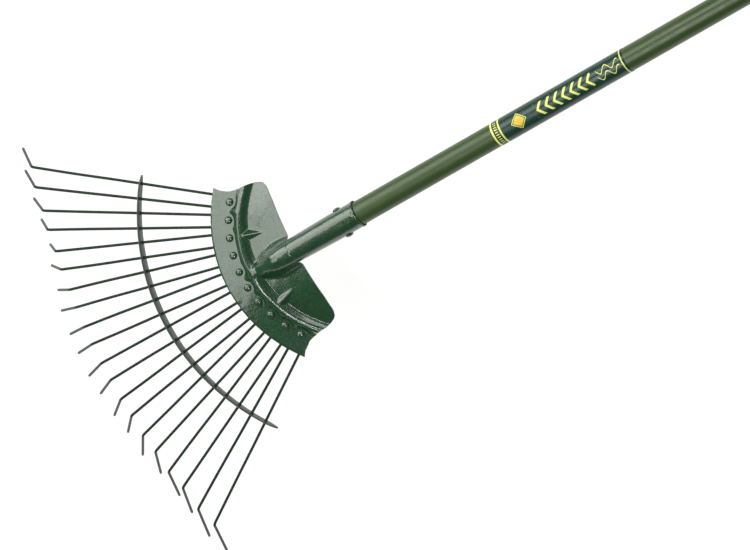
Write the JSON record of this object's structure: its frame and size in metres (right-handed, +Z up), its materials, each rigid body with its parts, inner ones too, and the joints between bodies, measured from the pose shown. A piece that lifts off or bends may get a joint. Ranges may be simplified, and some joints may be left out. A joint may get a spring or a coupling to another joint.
{
  "type": "lawn rake",
  "caption": "Spring-tine lawn rake: fan of hooked wire tines riveted into an arched steel head with a rolled socket, curved spacer strip, sleeved tubular handle.",
  "frame": {"origin": "on the floor under the middle of the rake's length, as it lies on its outermost tine tips and the butt of its handle", "axes": "+X along the rake towards the tine tips, +Y across the head, +Z up and out of the head's upper face"},
  "size_m": [1.6511, 0.5298, 0.1405],
  "materials": {
    "head_enamel": "glossy hammered green enamel",
    "tine_enamel": "thin dark green enamel on round spring wire, worn at the tips",
    "rivet_enamel": "enamelled over with the head",
    "tube_steel": "drawn tube, hidden under the sleeve",
    "sleeve_green": "semi-gloss olive green",
    "label_film": null,
    "cap_green": "moulded satin"
  },
  "bodies": {
    "root": {"head_plate": "head_enamel", "clamp_strip": "head_enamel", "spacer_strip": "tine_enamel", "socket_rivet": "rivet_enamel", "handle_tube": "tube_steel", "handle_sleeve": "sleeve_green", "handle_label": "label_film", "end_cap": "cap_green", "tine_pair_01": "tine_enamel", "tine_pair_02": "tine_enamel", "tine_pair_03": "tine_enamel", "tine_pair_04": "tine_enamel", "tine_pair_05": "tine_enamel", "tine_pair_06": "tine_enamel", "tine_pair_07": "tine_enamel", "tine_pair_08": "tine_enamel", "tine_pair_09": "tine_enamel", "tine_pair_10": "tine_enamel", "tine_rivet_01": "rivet_enamel", "tine_rivet_02": "rivet_enamel", "tine_rivet_03": "rivet_enamel", "tine_rivet_04": "rivet_enamel", "tine_rivet_05": "rivet_enamel", "tine_rivet_06": "rivet_enamel", "tine_rivet_07": "rivet_enamel", "tine_rivet_08": "rivet_enamel", "tine_rivet_09": "rivet_enamel", "tine_rivet_10": "rivet_enamel"}
  },
  "joints": []
}
